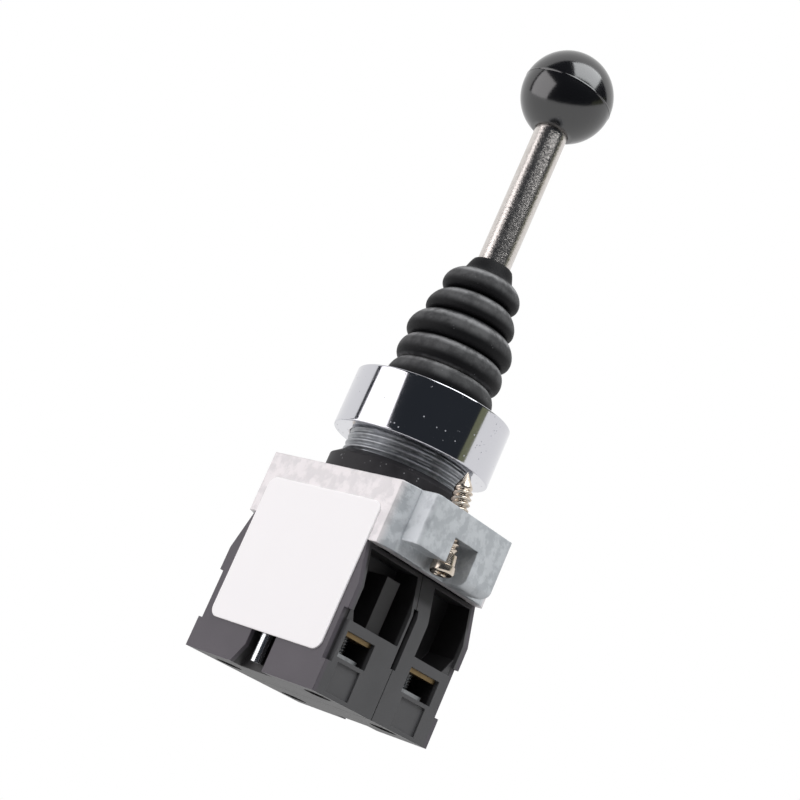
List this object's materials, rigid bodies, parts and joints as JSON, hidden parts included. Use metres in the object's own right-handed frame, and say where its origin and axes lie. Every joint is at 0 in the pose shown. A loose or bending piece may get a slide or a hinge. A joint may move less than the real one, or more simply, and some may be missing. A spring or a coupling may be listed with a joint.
{
  "type": "industrial joystick",
  "caption": "Panel-mounted spring-return lever switch: ball-topped rod in a bellows, chrome ring nut, threaded neck, die-cast base and two contact blocks.",
  "frame": {"origin": "on the neck's axis, in the plane of the ring nut's underside, which is the front face of the panel", "axes": "+Z along the lever at rest, away from the panel; X along the pivot pin and the contact blocks; Y is the way the lever tilts, with the label on the -Y side"},
  "size_m": [0.0584, 0.0396, 0.1676],
  "materials": {
    "knob": "glossy black moulded plastic",
    "rod": "bright nickel plate",
    "steel": "plain machined steel",
    "cast_zinc": "raw die-cast zinc alloy",
    "chrome": "polished chrome plate",
    "seal_rubber": "matte black rubber",
    "screw_plate": "nickel-plated steel",
    "brass": "bare brass",
    "silver": "silver contact alloy",
    "housing_plastic": "matte dark grey glass-filled plastic",
    "plunger_plastic": "natural self-lubricating plastic",
    "label": "plain off-white plate"
  },
  "bodies": {
    "housing": {"threaded_neck": "cast_zinc", "ring_nut": "chrome", "boot_clamp_washer": "steel", "panel_seal": "seal_rubber", "boot": "seal_rubber", "mounting_base": "cast_zinc", "fixing_screws": "screw_plate", "pivot_pin": "steel", "centring_springs": "steel", "contact_block_left": "housing_plastic", "contact_block_right": "housing_plastic", "block_cover_left": "housing_plastic", "block_cover_right": "housing_plastic", "terminal_plates": "brass", "terminal_screws": "screw_plate", "terminal_clamps": "screw_plate", "fixed_contact_tips": "silver", "block_screws": "screw_plate", "label_plate": "label"},
    "lever": {"lever_rod": "rod", "knob": "knob", "lock_nut": "rod", "rocker": "steel"},
    "left_plunger": {"plunger_left": "plunger_plastic", "contact_bridge_left": "brass", "bridge_tips_left": "silver", "contact_spring_left": "steel"},
    "right_plunger": {"plunger_right": "plunger_plastic", "contact_bridge_right": "brass", "bridge_tips_right": "silver", "contact_spring_right": "steel"}
  },
  "joints": [
    {"name": "lever_tilt", "type": "hinge", "parent": "housing", "child": "lever", "pos_m": [0, 0, -0.014], "axis": [1, 0, 0], "range_deg": [-16, 16], "stiffness_Nm_per_rad": 1.5, "deforming": ["boot", "centring_springs"]},
    {"name": "left_contact", "type": "slide", "parent": "housing", "child": "left_plunger", "axis": [0, 0, 1], "range_m": [-0.0026, 0.0026], "deforming": ["contact_spring_left"]},
    {"name": "right_contact", "type": "slide", "parent": "housing", "child": "right_plunger", "axis": [0, 0, 1], "range_m": [-0.0026, 0.0026], "deforming": ["contact_spring_right"]}
  ],
  "couplings": [
    {"joint": "left_contact", "follows": "lever_tilt", "m_per_rad": -0.0092},
    {"joint": "right_contact", "follows": "lever_tilt", "m_per_rad": 0.0092}
  ]
}
